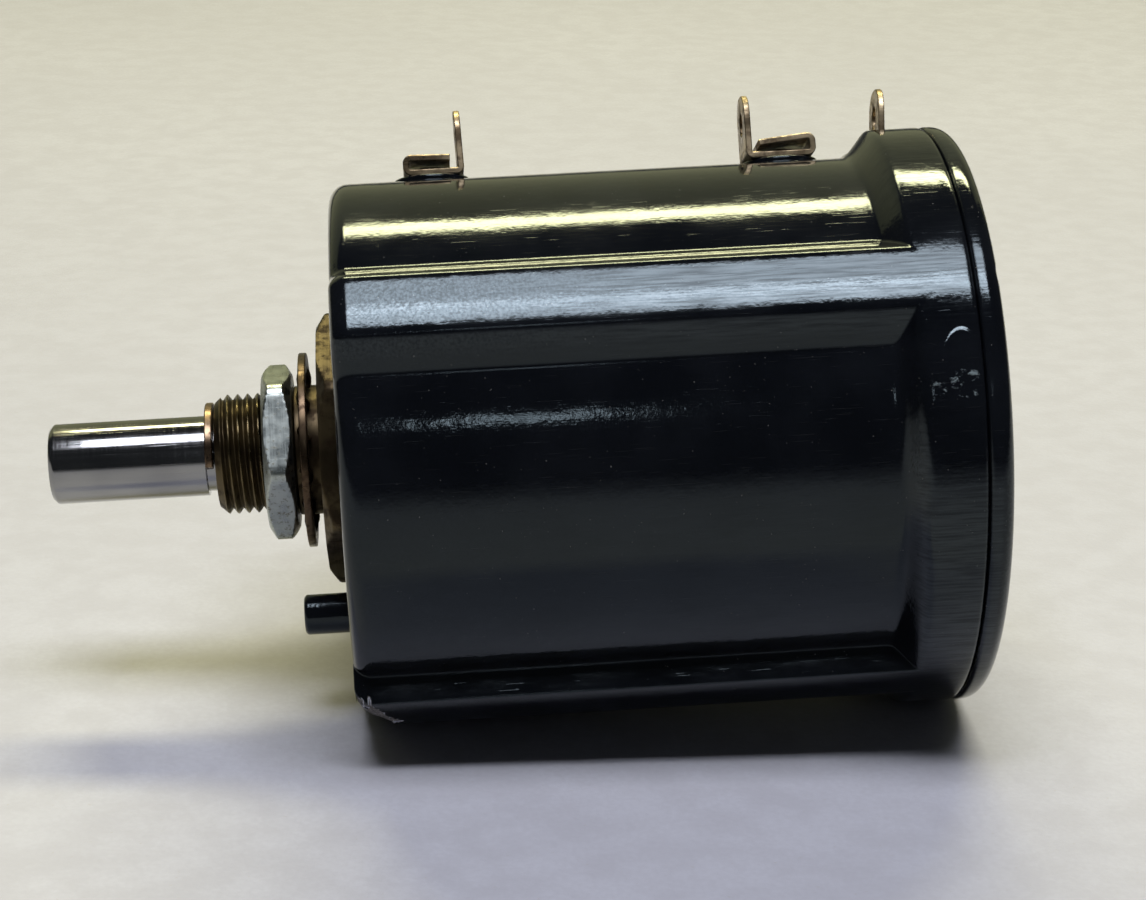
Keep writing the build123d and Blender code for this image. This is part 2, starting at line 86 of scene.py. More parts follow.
class Shader:
    """A principled material with short calls for the nodes that give it its grain and wear."""

    def __init__(self, name, **constants):
        self.material = bpy.data.materials.new(name)
        self.material.use_nodes = True
        self.tree = self.material.node_tree
        self.bsdf = self.tree.nodes["Principled BSDF"]
        self.object_coords = self.add("ShaderNodeTexCoord").outputs["Object"]
        for socket, value in constants.items():
            self.set(socket.replace("_", " "), value)

    def put(self, socket, value):
        if isinstance(value, bpy.types.NodeSocket):
            self.tree.links.new(value, socket)
        else:
            socket.default_value = value

    def set(self, socket, value):
        self.put(self.bsdf.inputs[socket], value)

    def add(self, kind, *values, **settings):
        node = self.tree.nodes.new(kind)
        for key, value in settings.items():
            setattr(node, key, value)
        for socket, value in zip(node.inputs, values):
            if value is not None:
                self.put(socket, value)
        return node

    def math(self, operation, a, b=0.0):
        return self.add("ShaderNodeMath", a, b, operation=operation).outputs[0]

    def coords(self):
        """Place along the shaft, and distance and angle about it, as (x, radius, angle) sockets."""
        x, y, z = self.add("ShaderNodeSeparateXYZ", self.object_coords).outputs
        radius = self.math("SQRT", self.math("ADD", self.math("MULTIPLY", y, y), self.math("MULTIPLY", z, z)))
        angle = self.math("ARCTAN2", self.math("MULTIPLY", z, -1.0), self.math("MULTIPLY", y, -1.0))
        return x, radius, angle

    def unrolled(self, across):
        """The surface round the shaft laid flat: along it, and round it at a radius of across metres."""
        x, radius, angle = self.coords()
        return self.add("ShaderNodeCombineXYZ", x, self.math("MULTIPLY", angle, across), radius).outputs[0]

    def noise(self, scale, detail=3.0, stretch=(1, 1, 1), turn=0.0, shift=0.0, coords=None, roughness=0.5):
        mapped = self.add(
            "ShaderNodeMapping", coords or self.object_coords, (shift, shift, shift), (0, 0, turn), stretch
        ).outputs[0]
        node = self.add("ShaderNodeTexNoise")
        self.put(node.inputs["Vector"], mapped)
        self.put(node.inputs["Scale"], scale)
        self.put(node.inputs["Detail"], detail)
        self.put(node.inputs["Roughness"], roughness)
        return node.outputs["Fac"]

    def span(self, value, low, high, to_low=0.0, to_high=1.0):
        """value's run from low to high, eased and clamped, as to_low to to_high."""
        return self.add(
            "ShaderNodeMapRange", value, low, high, to_low, to_high, interpolation_type="SMOOTHSTEP"
        ).outputs[0]

    def mix(self, share, a, b):
        node = self.add("ShaderNodeMix", data_type="RGBA")
        self.put(node.inputs["Factor"], share)
        self.put(node.inputs[6], a if isinstance(a, bpy.types.NodeSocket) else (*a, 1.0))
        self.put(node.inputs[7], b if isinstance(b, bpy.types.NodeSocket) else (*b, 1.0))
        return node.outputs[2]

    def scratches(self, coords, turns, density=0.70, width=9000.0, length=120.0):
        """Fine straight scratches in several directions, 0 to 1."""
        total = None
        for i, turn in enumerate(turns):
            lines = self.noise(1.0, 1.0, (length, width, width), turn, 3.7 * i, coords)
            lines = self.span(lines, density, density + 0.06)
            total = lines if total is None else self.math("MAXIMUM", total, lines)
        return total

    def edges(self, radius, low=0.04, high=0.35):
        """Rises towards 1 on edges and corners sharper than radius metres."""
        bevel = self.add("ShaderNodeBevel", samples=4)
        self.put(bevel.inputs["Radius"], radius)
        plain = self.add("ShaderNodeNewGeometry").outputs["Normal"]
        dot = self.add("ShaderNodeVectorMath", plain, bevel.outputs[0], operation="DOT_PRODUCT").outputs["Value"]
        return self.span(self.math("SUBTRACT", 1.0, dot), low, high)

    def bump(self, *layers, rounded=0.0):
        """layers are (height socket, metres); a rounded radius softens the edges in the shading."""
        normal = None
        if rounded:
            bevel = self.add("ShaderNodeBevel", samples=4)
            self.put(bevel.inputs["Radius"], rounded)
            normal = bevel.outputs[0]
        for height, depth in layers:
            node = self.add("ShaderNodeBump")
            self.put(node.inputs["Strength"], 1.0)
            self.put(node.inputs["Distance"], depth)
            self.put(node.inputs["Height"], height)
            if normal is not None:
                self.put(node.inputs["Normal"], normal)
            normal = node.outputs[0]
        self.set("Normal", normal)


def phenolic(name, dark, light, polish=(0.05, 0.11), case=False):
    """Moulded phenolic: a glossy skin with flow streaks, faint mottling, dust and fine scratches."""
    s = Shader(name, IOR=1.5, Specular_Tint=(0.66, 0.78, 0.83, 1.0))
    flat = s.unrolled(0.0225)
    cloudy = s.noise(160.0, 4.0)
    mottled = s.noise(1100.0, 3.0, shift=2.0)
    skin = s.noise(4200.0, 2.0, shift=5.0)
    station, radius, _ = s.coords()
    side = s.math("MULTIPLY", s.span(station, 0.0018, 0.0035), s.span(station, 0.0504, 0.0496))
    streaks = s.math("MULTIPLY", s.noise(1.0, 4.0, (260, 5200, 900), 0.0, 6.1, flat, 0.6), side)
    grains = s.noise(4600.0, 4.0, shift=7.0, roughness=0.65)
    lines = s.scratches(flat, (0.15, 1.2, 2.3, -0.4), 0.735, 14000.0, 260.0)
    dust = s.span(s.noise(5200.0, 1.0, shift=9.0), 0.78, 0.80)
    colour = s.mix(s.span(cloudy, 0.35, 0.7), dark, light)
    colour = s.mix(s.math("MULTIPLY", lines, 0.06), colour, (0.16, 0.155, 0.15))
    colour = s.mix(s.math("MULTIPLY", dust, 0.35), colour, (0.30, 0.29, 0.27))
    rough = s.span(cloudy, 0.3, 0.75, polish[0], polish[1])
    rough = s.math("ADD", rough, s.span(streaks, 0.45, 0.7, 0.0, 0.04))
    rough = s.math("ADD", rough, s.math("MULTIPLY", lines, 0.06))
    rearward = s.math("MULTIPLY", s.span(station, 0.006, 0.030), side)
    worn_skin = s.add("ShaderNodeMix", rearward, data_type="FLOAT")
    s.put(worn_skin.inputs["A"], grains)
    s.put(worn_skin.inputs["B"], streaks)
    level = s.add("ShaderNodeMix", s.span(radius, 0.0214, 0.0224, 0.15, 1.0), data_type="FLOAT")
    s.put(level.inputs["A"], 0.42)
    s.put(level.inputs["B"], s.span(worn_skin.outputs[0], 0.30, 0.66, 0.33, 0.62))
    s.set("Specular IOR Level", level.outputs[0])
    layers = [(mottled, 0.000010), (cloudy, 0.00004), (skin, 0.0000045), (streaks, 0.0000025), (lines, -0.000001)]
    if case:
        colour, rough, marks = case_marks(s, colour, rough)
        layers += marks
    wear = s.edges(0.00025)
    colour = s.mix(s.math("MULTIPLY", wear, 0.05), colour, (0.22, 0.20, 0.17))
    s.set("Base Color", colour)
    s.set("Roughness", rough)
    s.bump(*layers, rounded=0.00018)
    return s.material


def case_marks(s, colour, rough):
    """The marks on the case: an oval moulded rim on the flange, pale scuffs in and by it, and the broken corner, with a
    painted highlight along its rim.
    """
    x, radius, angle = s.coords()

    def ellipse(station, degrees, half_length, half_degrees):
        along = s.math("DIVIDE", s.math("SUBTRACT", x, station * MM), half_length * MM)
        centre = radians(degrees - 180)
        around = s.math("DIVIDE", s.math("SUBTRACT", angle, centre), radians(half_degrees))
        return s.math("ADD", s.math("MULTIPLY", along, along), s.math("MULTIPLY", around, around))

    inside = s.span(ellipse(47.3, 157.5, 2.0, 11.8), 1.0, 0.84)
    upper = s.span(angle, radians(158 - 180), radians(148 - 180), 0.12, 1.0)
    inside = s.math("MULTIPLY", inside, upper)
    flecks = s.noise(2300.0, 5.0, (0.6, 1.0, 1.0), 0.3, 4.0, roughness=0.7)
    scuffs = None
    for place in ((47.3, 155.0, 1.3, 1.4), (45.4, 157.0, 0.6, 1.8), (47.5, 158.2, 0.9, 0.9), (46.6, 156.4, 0.5, 1.0)):
        patch = s.span(ellipse(*place), 1.0, 0.2)
        scuffs = patch if scuffs is None else s.math("MAXIMUM", scuffs, patch)
    scuffs = s.math("MULTIPLY", scuffs, s.span(flecks, 0.52, 0.60))
    colour = s.mix(s.math("MULTIPLY", scuffs, 0.6), colour, (0.30, 0.36, 0.37))
    rough = s.math("ADD", rough, s.math("MULTIPLY", scuffs, 0.35))
    broken = s.add("ShaderNodeAttribute", attribute_name="chip").outputs["Fac"]
    grit = s.noise(3200.0, 5.0, shift=1.0, roughness=0.7)
    stone = s.mix(s.span(grit, 0.35, 0.7), (0.07, 0.06, 0.055), (0.34, 0.31, 0.29))
    # Painted highlight: a pale bluish band along the rim of the broken face.
    stone = s.mix(s.math("MULTIPLY", s.span(broken, 0.2, 0.5), s.span(broken, 0.95, 0.6)), stone, (0.55, 0.55, 0.62))
    colour = s.mix(s.span(broken, 0.1, 0.4), colour, stone)
    rough = s.math("ADD", rough, s.math("MULTIPLY", broken, 0.6))
    return colour, rough, [(inside, 0.00005), (scuffs, 0.00003), (s.math("MULTIPLY", broken, grit), 0.0005)]


def metal(name, dark, light, tarnish, polish, amount=0.5, spotted=600.0, turned=0.0, drawn=0.0, crests=None):
    """Metal with two tones, tarnish in patches, lighter worn edges, and turning lines or drawing lines."""
    s = Shader(name, Metallic=1.0)
    flat = s.unrolled(0.004)
    patches = s.noise(spotted, 5.0, shift=1.3, roughness=0.62)
    clouds = s.noise(spotted * 0.3, 2.0, shift=4.1)
    colour = s.mix(s.span(clouds, 0.35, 0.65), dark, light)
    stained = s.span(patches, 0.72 - 0.35 * amount, 0.80 - 0.2 * amount)
    colour = s.mix(s.math("MULTIPLY", stained, 0.8), colour, tarnish)
    lines = s.scratches(flat, (0.3, 1.25, -0.9), 0.70)
    rough = s.span(clouds, 0.3, 0.7, polish[0], polish[1])
    rough = s.math("ADD", rough, s.math("MULTIPLY", stained, 0.18))
    rough = s.math("ADD", rough, s.math("MULTIPLY", lines, 0.15))
    layers = [(patches, 0.000006), (lines, -0.0000012)]
    if turned:
        rings = s.noise(1.0, 2.0, (14000, 60, 60), 0.0, 0.0, flat)
        layers.append((rings, turned))
        rough = s.math("ADD", rough, s.span(rings, 0.35, 0.7, 0.0, 0.08))
    if drawn:
        streaks = s.noise(1.0, 3.0, (40, 9000, 9000), 0.0, 0.0, flat)
        layers.append((streaks, drawn))
        rough = s.math("ADD", rough, s.span(streaks, 0.35, 0.7, 0.0, 0.07))
    worn = s.edges(0.0002)
    colour = s.mix(s.math("MULTIPLY", worn, 0.35), colour, tuple(min(1.0, c * 1.5) for c in light))
    if crests:
        x, radius, angle = s.coords()
        rubbed = s.math("MULTIPLY", s.span(radius, crests[0], crests[1]), s.span(radius, 0.0051, 0.00495))
        colour = s.mix(s.math("MULTIPLY", rubbed, 0.5), colour, (0.17, 0.132, 0.068))
        rough = s.math("SUBTRACT", rough, s.math("MULTIPLY", rubbed, 0.16))
    s.set("Base Color", colour)
    s.set("Roughness", rough)
    s.bump(*layers, rounded=0.00008)
    return s.material


def tabletop():
    """Pale cream laminate with a faint grain and a satin sheen, and painted shade darkening the part nearest the
    viewer.
    """
    s = Shader("tabletop", IOR=1.45)
    broad = s.noise(9.0, 3.0)
    grain = s.noise(1800.0, 4.0)
    mottled = s.noise(240.0, 5.0, shift=6.0, roughness=0.6)
    specks = s.span(s.noise(2600.0, 2.0, shift=3.0), 0.70, 0.76)
    colour = s.mix(s.span(broad, 0.3, 0.7), (0.50, 0.495, 0.545), (0.53, 0.525, 0.575))
    colour = s.mix(s.span(mottled, 0.35, 0.65, 0.0, 0.6), colour, (0.455, 0.445, 0.485))
    colour = s.mix(s.span(grain, 0.3, 0.7, 0.0, 0.35), colour, (0.46, 0.45, 0.49))
    colour = s.mix(s.math("MULTIPLY", specks, 0.25), colour, (0.42, 0.38, 0.32))
    # Painted shade: from about 0.1 m in front of the unit towards the viewer, the table darkens to a dim bluish grey.
    # The case's reflections show this part of the table.
    place = s.add("ShaderNodeSeparateXYZ", s.object_coords).outputs
    colour = s.mix(s.span(place[1], -0.30, -0.10), (0.17, 0.17, 0.185), colour)
    s.set("Base Color", colour)
    s.set("Roughness", s.span(grain, 0.2, 0.8, 0.42, 0.6))
    s.bump((grain, 0.00003))
    return s.material


BLACK = phenolic("black_phenolic", (0.0028, 0.0033, 0.0048), (0.0055, 0.0063, 0.0085), case=True)
BROWN = phenolic("brown_phenolic", (0.09, 0.04, 0.02), (0.16, 0.075, 0.035), (0.3, 0.5))
FIBRE = phenolic("fibre", (0.25, 0.08, 0.045), (0.34, 0.12, 0.07), (0.6, 0.8))
STAINLESS = metal(
    "stainless", (0.225, 0.225, 0.23), (0.285, 0.285, 0.285), (0.18, 0.175, 0.16), (0.035, 0.065), 0.2,
    400.0, 0.0000002, 0.0000002,
)
BUSHING_BRASS = metal(
    "bushing_brass", (0.050, 0.037, 0.022), (0.105, 0.080, 0.042), (0.030, 0.020, 0.013), (0.32, 0.46), 0.75,
    700.0, 0.000002, 0.0, (0.00455, 0.00474),
)
NUT_STEEL = metal(
    "nut_steel", (0.32, 0.35, 0.335), (0.40, 0.43, 0.405), (0.15, 0.135, 0.095), (0.25, 0.34), 0.52, 2900.0, 0.000002
)
SCREW_STEEL = metal("steel_screw", (0.32, 0.31, 0.30), (0.45, 0.44, 0.42), (0.2, 0.15, 0.1), (0.3, 0.45), 0.5)
BRONZE = metal("bronze", (0.075, 0.051, 0.032), (0.15, 0.105, 0.064), (0.04, 0.026, 0.017), (0.25, 0.42), 0.75, 1300.0)
SPRING_BRONZE = metal(
    "spring_bronze", (0.13, 0.088, 0.056), (0.26, 0.18, 0.115), (0.07, 0.047, 0.032), (0.22, 0.35), 0.65, 1500.0
)
TINNED = metal(
    "tinned_brass", (0.21, 0.155, 0.09), (0.46, 0.365, 0.23), (0.075, 0.05, 0.030), (0.24, 0.40), 0.8, 1100.0,
    0.0, 0.000004,
)
WIRE = metal("winding_wire", (0.40, 0.36, 0.30), (0.55, 0.50, 0.44), (0.25, 0.2, 0.14), (0.3, 0.4), 0.3, 900.0, 0.00002)
MANDREL = metal("mandrel", (0.20, 0.07, 0.03), (0.32, 0.12, 0.05), (0.12, 0.05, 0.02), (0.25, 0.35), 0.3)
SILVER = metal("contact_silver", (0.70, 0.68, 0.64), (0.82, 0.80, 0.77), (0.4, 0.36, 0.3), (0.15, 0.25), 0.3)

NODE_MATERIALS = {
    BLACK: ("housing", "rear_lid"),
    BROWN: ("front_hub", "rear_hub", "slider_block"),
    FIBRE: ("thrust_washer", "spacer_washer"),
    STAINLESS: ("shaft", "guide_rods", "hub_pins"),
    BUSHING_BRASS: ("bushing", "terminal_rivets"),
    NUT_STEEL: ("panel_nut",),
    SCREW_STEEL: ("lid_screws",),
    BRONZE: ("lock_washer", "rear_bearing", "front_stop", "rear_stop", "contact_bar", "slip_ring", "coil_follower"),
    SPRING_BRONZE: ("retaining_ring", "pickup_brush", "wiper_spring", "pickup_spring"),
    TINNED: ("front_terminal", "rear_terminal", "wiper_terminal"),
    WIRE: ("resistance_winding",),
    MANDREL: ("coil_mandrel",),
    SILVER: ("wiper_contact",),
}
for material, names in NODE_MATERIALS.items():
    for node_name in names:
        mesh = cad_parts[node_name].data
        mesh.materials.clear()
        mesh.materials.append(material)

# Mesh helpers -------------------------------------------------------------------------


def finished(name, mesh, material, body, nodes, sharp=34):
    """Turns a mesh in millimetres into a finished piece that rides on a body and stands for CAD nodes."""
    bm = bmesh.new()
    bm.from_mesh(mesh)
    bmesh.ops.remove_doubles(bm, verts=bm.verts, dist=1e-4)
    bmesh.ops.recalc_face_normals(bm, faces=bm.faces)
    bm.to_mesh(mesh)
    bm.free()
    mesh.transform(Matrix.Scale(MM, 4))
    mesh.shade_smooth()
    mesh.set_sharp_from_angle(angle=radians(sharp))
    mesh.materials.clear()
    mesh.materials.append(material)
    piece = bpy.data.objects.new(name, mesh)
    bpy.context.scene.collection.objects.link(piece)
    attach(piece, body)
    if nodes:
        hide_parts(*nodes)
    return piece


def turned(name, rows, angles=None, closed=True):
    """A mesh round the X axis. Each row is (x, r), numbers or one value per angle, and is joined to the next.
    A closed one joins its last row to its first; an open one is capped at both ends."""
    angles = np.linspace(0, tau, 129)[:-1] if angles is None else np.asarray(angles)
    count = len(angles)
    points = np.empty((len(rows), count, 3))
    for k, (x, r) in enumerate(rows):
        points[k, :, 0] = x
        points[k, :, 1] = r * np.cos(angles)
        points[k, :, 2] = r * np.sin(angles)
    here = np.arange(count)
    after = (here + 1) % count
    faces = []
    for k in range(len(rows) if closed else len(rows) - 1):
        a, b = k * count, ((k + 1) % len(rows)) * count
        faces += np.stack((a + here, b + here, b + after, a + after), axis=1).tolist()
    if not closed:
        faces.append(here.tolist())
        faces.append((here + (len(rows) - 1) * count).tolist())
    mesh = bpy.data.meshes.new(name)
    mesh.from_pydata(points.reshape(-1, 3).tolist(), [], faces)
    return mesh


def arc(x, r, radius, start, end, steps=6):
    """Rows along a rounded edge whose centre is (x, r); angles in degrees from +x towards +r."""
    return [
        (x + radius * cos(radians(a)), r + radius * sin(radians(a))) for a in np.linspace(start, end, steps)
    ]


def joined(name, meshes):
    bm = bmesh.new()
    for part in meshes:
        bm.from_mesh(part)
    mesh = bpy.data.meshes.new(name)
    bm.to_mesh(mesh)
    bm.free()
    return mesh


def cut(mesh, cutter):
    """mesh with cutter's volume taken out of it."""
    scene = bpy.context.scene
    for part in (mesh, cutter):
        bm = bmesh.new()
        bm.from_mesh(part)
        bmesh.ops.recalc_face_normals(bm, faces=bm.faces)
        bm.to_mesh(part)
        bm.free()
    body = bpy.data.objects.new("body", mesh)
    tool = bpy.data.objects.new("tool", cutter)
    scene.collection.objects.link(body)
    scene.collection.objects.link(tool)
    modifier = body.modifiers.new("cut", "BOOLEAN")
    modifier.operation = "DIFFERENCE"
    modifier.object = tool
    modifier.solver = "EXACT"
    graph = bpy.context.evaluated_depsgraph_get()
    graph.update()
    result = bpy.data.meshes.new_from_object(body.evaluated_get(graph))
    bpy.data.objects.remove(body)
    bpy.data.objects.remove(tool)
    return result


def outward(station, radius, angle):
    """The place whose +X points outward from the shaft, at a station along it."""
    out = Vector((0, cos(radians(angle)), sin(radians(angle))))
    along = Vector((1, 0, 0))
    place = Matrix((out, along, out.cross(along))).transposed().to_4x4()
    place.translation = Vector((station, 0, 0)) + out * radius
    return place


def moved(mesh, place):
    mesh.transform(place)
    return mesh


def eased(t, soft):
    """t held between 0 and 1, with both bends softened over about soft."""
    low = soft * np.logaddexp(0, np.asarray(t) / soft)
    high = soft * np.logaddexp(0, (np.asarray(t) - 1) / soft)
    return low - high


# Housing ----------------------------------------------------------------------------------

CASE_FRONT = 1.65
SEAM = 48.8
LID_REAR = 50.8
OUTER_R = 23.02
FLOOR_R = 20.9
BORE_R = 19.65
RIB_CENTRES = (45, 135, 225, 315)
RIB_HALF, RIB_FOOT = 6.15, 12.15
CORNER_R = 1.5
TERMINAL_ANGLE = 66.0
NOTCH_HALF = 10.5
RIVETS = ((9.85, 1.0), (38.1, 1.0), (47.3, 0.5))  # station, and size beside the first one's
SEAT_R = 21.25

fine = [np.arange(c - 14, c + 14.01, 0.25) for c in RIB_CENTRES]
notch_edges = [TERMINAL_ANGLE + s * NOTCH_HALF + np.linspace(-0.6, 0.6, 13) for s in (-1, 1)]
steep_edge = np.arange(217.5, 220, 0.1)
case_degrees = np.concatenate([np.arange(0, 360, 1.0), *fine, *notch_edges, steep_edge]) % 360
case_degrees = np.unique(np.round(case_degrees, 3))
case_angles = np.radians(case_degrees)
from_rib = np.min([np.abs((case_degrees - c + 180) % 360 - 180) for c in RIB_CENTRES], axis=0)
rib_height = eased((RIB_FOOT - from_rib) / (RIB_FOOT - RIB_HALF), 0.055)
near_side = (case_degrees > 200) & (case_degrees < 225)  # this one flank stands steep, without a bevel
rib_height[near_side] = eased((case_degrees[near_side] - 218.3) / 0.9, 0.08)
from_notch = np.abs(case_degrees - TERMINAL_ANGLE)
notch = eased((NOTCH_HALF + 0.2 - from_notch) / 0.4, 0.12)
CHIP_X, CHIP_ANGLE = 1.7, 229.5


def case_radius(x):
    """Radius of the moulded outside at a station, one value per angle; the chipped corner's depth is not taken off
    here.
    """
    climb = eased((x - 42.85) / 1.65, 0.09)
    flange = OUTER_R - FLOOR_R
    radius = FLOOR_R + flange * np.maximum(rib_height, climb)
    return radius - notch * np.maximum(radius - SEAT_R, 0)


def chip_depth(x):
    """How much of the broken corner is missing at a station, one value per angle."""
    around = (case_degrees - CHIP_ANGLE) * FLOOR_R * pi / 180
    depth = np.zeros(len(case_degrees))
    for i in np.nonzero(np.abs(around) < 6)[0]:
        rough = noise.fractal(Vector((x * 0.9, around[i] * 0.9, 3.1)), 1.0, 2.0, 4)
        reach = hypot((x - CHIP_X) / 2.9, around[i] / 3.6) + 0.28 * rough
        depth[i] = max(0.0, 1.0 - reach) ** 0.6 * (1.25 + 0.4 * rough)
    return depth


def build_housing():
    face_stop = case_radius(CASE_FRONT + CORNER_R) - CORNER_R
    rows = [(4.65, 6.05), (CASE_FRONT + 0.1, 6.05), (CASE_FRONT, 6.15), (CASE_FRONT, 10.0)]
    rows += [(CASE_FRONT, 10 + (face_stop - 10) * t) for t in (0.3, 0.6, 0.8, 0.9, 0.96)]
    broken = [np.zeros(len(case_degrees)) for _ in rows]

    def outside(x, inset):
        depth = chip_depth(x)
        rows.append((x, case_radius(max(x, CASE_FRONT + CORNER_R)) - inset - depth))
        broken.append(np.clip(depth * 8, 0, 1))

    for a in np.linspace(90, 0, 13):
        outside(CASE_FRONT + CORNER_R * (1 - sin(radians(a))), CORNER_R * (1 - cos(radians(a))))
    for x in (*np.arange(3.3, 7.0, 0.15), *np.arange(7.0, 42.1, 1.0), *np.arange(42.2, 45.3, 0.08), 46.0, 47.0, 48.0):
        outside(x, 0.0)
    for x, inset in ((48.4, 0.0), (48.52, 0.02), (48.62, 0.07), (48.7, 0.14), (48.76, 0.24), (48.8, 0.4)):
        outside(x, inset)
    for row in ((SEAM, BORE_R + 0.05), (SEAM - 0.1, BORE_R), (25.0, BORE_R), (4.65, BORE_R)):
        rows.append(row)
        broken.append(np.zeros(len(case_degrees)))
    mesh = turned("housing_shell", rows, case_angles)
    chip = mesh.attributes.new("chip", "FLOAT", "POINT")
    chip.data.foreach_set("value", np.concatenate(broken))
    bosses = []
    for station, _ in RIVETS[:2]:
        low = FLOOR_R - 0.3 - SEAT_R
        profile = [(low, 3.1), (low + 0.25, 3.1), *arc(-0.22, 2.88, 0.22, 90, 0), (0.0, 1.0)]
        bosses.append(moved(turned("boss", profile, closed=False), outward(station, SEAT_R, TERMINAL_ANGLE)))
    pin_rows = [(-2.2, 1.35), (-2.15, 1.45), (-2.0, 1.58), (-1.9, 1.6), (1.3, 1.6), (1.5, 1.66), (1.7, 1.8), (2.2, 1.8)]
    pin_angle = radians(246)
    place = Matrix.Translation((0, 13.13 * cos(pin_angle), 13.13 * sin(pin_angle)))
    bosses.append(moved(turned("pin", pin_rows, closed=False), place))
    finished(
        "housing_shell", joined("housing_shell", [mesh, *bosses]), BLACK, "case", ["housing"]
    )


build_housing()


def screw_places():
    return [
        Matrix.Translation((0, 20.9 * cos(radians(c)), 20.9 * sin(radians(c)))) @ Matrix.Rotation(turn, 4, "X")
        for c, turn in zip(RIB_CENTRES, (0.4, 1.9, 1.1, 2.6))
    ]


def build_lid():
    rows = [
        (49.95, 3.2), (46.8, 3.2), (46.8, 5.5), (SEAM + 0.02, 5.5), (SEAM + 0.02, 17.65), (47.9, 17.65), (47.9, 19.55),
        (SEAM + 0.02, 19.6), (SEAM + 0.02, 22.5), (48.86, 22.74), (48.92, 22.87), (49.0, 22.95), (49.1, 23.0), (49.22, 23.02),
        *arc(LID_REAR - 1.2, OUTER_R - 1.2, 1.2, 90, 0, 12),
    ]
    rows += [(LID_REAR, r) for r in (21.0, 18.0, 15.0)]
    rows += [(LID_REAR, 12.3), (LID_REAR - 0.12, 12.1), (LID_REAR - 0.12, 8.0), (LID_REAR - 0.12, 1.6), (LID_REAR - 0.22, 1.4)]
    angles = np.radians(np.arange(0, 360, 1.5))
    lid = turned("rear_lid_shell", rows, angles, closed=False)
    wells = [
        moved(turned("well", [(49.4, 1.56), (LID_REAR + 1, 1.56)], closed=False), place) for place in screw_places()
    ]
    finished("rear_lid_shell", cut(lid, joined("wells", wells)), BLACK, "case", ["rear_lid"])
    screws = []
    for place in screw_places():
        head = turned(
            "screw",
            [(42.0, 0.9), (49.48, 0.95), (49.5, 1.4), (50.25, 1.45), *arc(50.25, 1.15, 0.3, 90, 15), (50.58, 0.8)],
            closed=False,
        )
        slot_tool = bpy.data.meshes.new("slot")
        bm = bmesh.new()
        bmesh.ops.create_cube(bm, size=1.0, matrix=Matrix.Translation((50.5, 0, 0)) @ Matrix.Diagonal((0.9, 0.5, 4, 1)))
        bm.to_mesh(slot_tool)
        bm.free()
        screws.append(moved(cut(head, slot_tool), place))
    finished("lid_screw_heads", joined("lid_screw_heads", screws), SCREW_STEEL, "case", ["lid_screws"])


build_lid()

# Bushing, nut, washer and ring -----------------------------------------------------------

THREAD_R = 4.7625
THREAD_PITCH = 0.79375
THREAD_DEPTH = 0.46


def hexagon(half_across, corner, degrees):
    """Radius of a hexagon at each angle, given one corner's angle."""
    from_flat = (np.asarray(degrees) - corner) % 60 - 30
    return half_across / np.cos(np.radians(from_flat))


def rounded_hexagon(half_across, corner, worn, degrees):
    """The same with its corners worn round to a radius."""
    from_corner = np.radians((np.asarray(degrees) - corner + 30) % 60 - 30)
    centre = (half_across - worn) / cos(pi / 6)
    reach = np.maximum(worn**2 - (centre * np.sin(from_corner)) ** 2, 0)
    round_r = centre * np.cos(from_corner) + np.sqrt(reach)
    touch = np.arctan2(worn * 0.5, centre + worn * cos(pi / 6))
    return np.where(np.abs(from_corner) < touch, round_r, hexagon(half_across, corner, degrees))


def build_bushing():
    degrees = np.arange(0.5, 360, 1.5)
    degrees = np.unique(np.round(np.concatenate([degrees, *(15 + 60 * k + np.array([-1, -0.4, 0, 0.4, 1]) for k in range(6))]) % 360, 3))
    angles = np.radians(degrees)
    hexa = hexagon(19.05 / 2, 15, degrees)
    rows = [(4.65, 3.215), (-8.1, 3.215), (-8.4, 3.4), (-8.4, THREAD_R - 0.75)]
    for x in np.arange(-8.38, -2.15, 0.06):
        phase = (x / THREAD_PITCH - angles / tau) % 1.0
        ridge = np.clip(1.18 * (1 - 2 * np.abs(phase - 0.5)) - 0.06, 0, 1)
        thread = THREAD_R - THREAD_DEPTH * (1 - ridge)
        lead_in = THREAD_R - 0.62 + (x + 8.4) * 0.9
        rows.append((x, np.minimum(np.minimum(thread, lead_in), THREAD_R)))
    rows += [(-2.2, THREAD_R - 0.3), (-2.15, 4.85), (-2.13, 5.0), (-2.0, 5.13), (-1.85, 5.15), (-0.02, 5.15), (0.0, 5.3)]
    for depth in (0.0, 0.04, 0.1, 0.18, 0.3, 0.45, 0.65, 0.85):
        cone = 19.05 / 2 + 0.18 + depth * 1.5
        rows.append((depth, np.minimum(np.minimum(hexa, cone), 10.78)))
    rows += [(1.6, np.minimum(hexa, 10.78)), (1.65, np.minimum(hexa, 10.78) - 0.05), (1.65, 6.1), (1.7, 6.0), (4.65, 6.0)]
    finished("threaded_bushing", turned("threaded_bushing", rows, angles), BUSHING_BRASS, "case", ["bushing"], 28)


build_bushing()


def build_nut():
    front, rear = -4.55, -2.2
    degrees = np.unique(np.round(np.concatenate(
        [np.arange(0, 360, 1.5), *(57 + 60 * k + np.arange(-5.6, 5.61, 0.4) for k in range(6))]
    ) % 360, 3))
    angles = np.radians(degrees)
    hexa = rounded_hexagon(6.35, 57, 1.2, degrees)
    rows = [(rear, 5.2), (rear - 0.35, 4.82), (front + 0.35, 4.82), (front, 5.2)]
    depths = (0.0, 0.03, 0.07, 0.12, 0.18, 0.26, 0.36, 0.48, 0.6)
    rows += [(front + d, np.minimum(hexa, 6.12 + d * 1.75)) for d in depths]
    rows += [(rear - d, np.minimum(hexa, 6.12 + d * 1.75)) for d in reversed(depths)]
    finished("hex_nut", turned("hex_nut", rows, angles), NUT_STEEL, "nut", ["panel_nut"], 28)


build_nut()


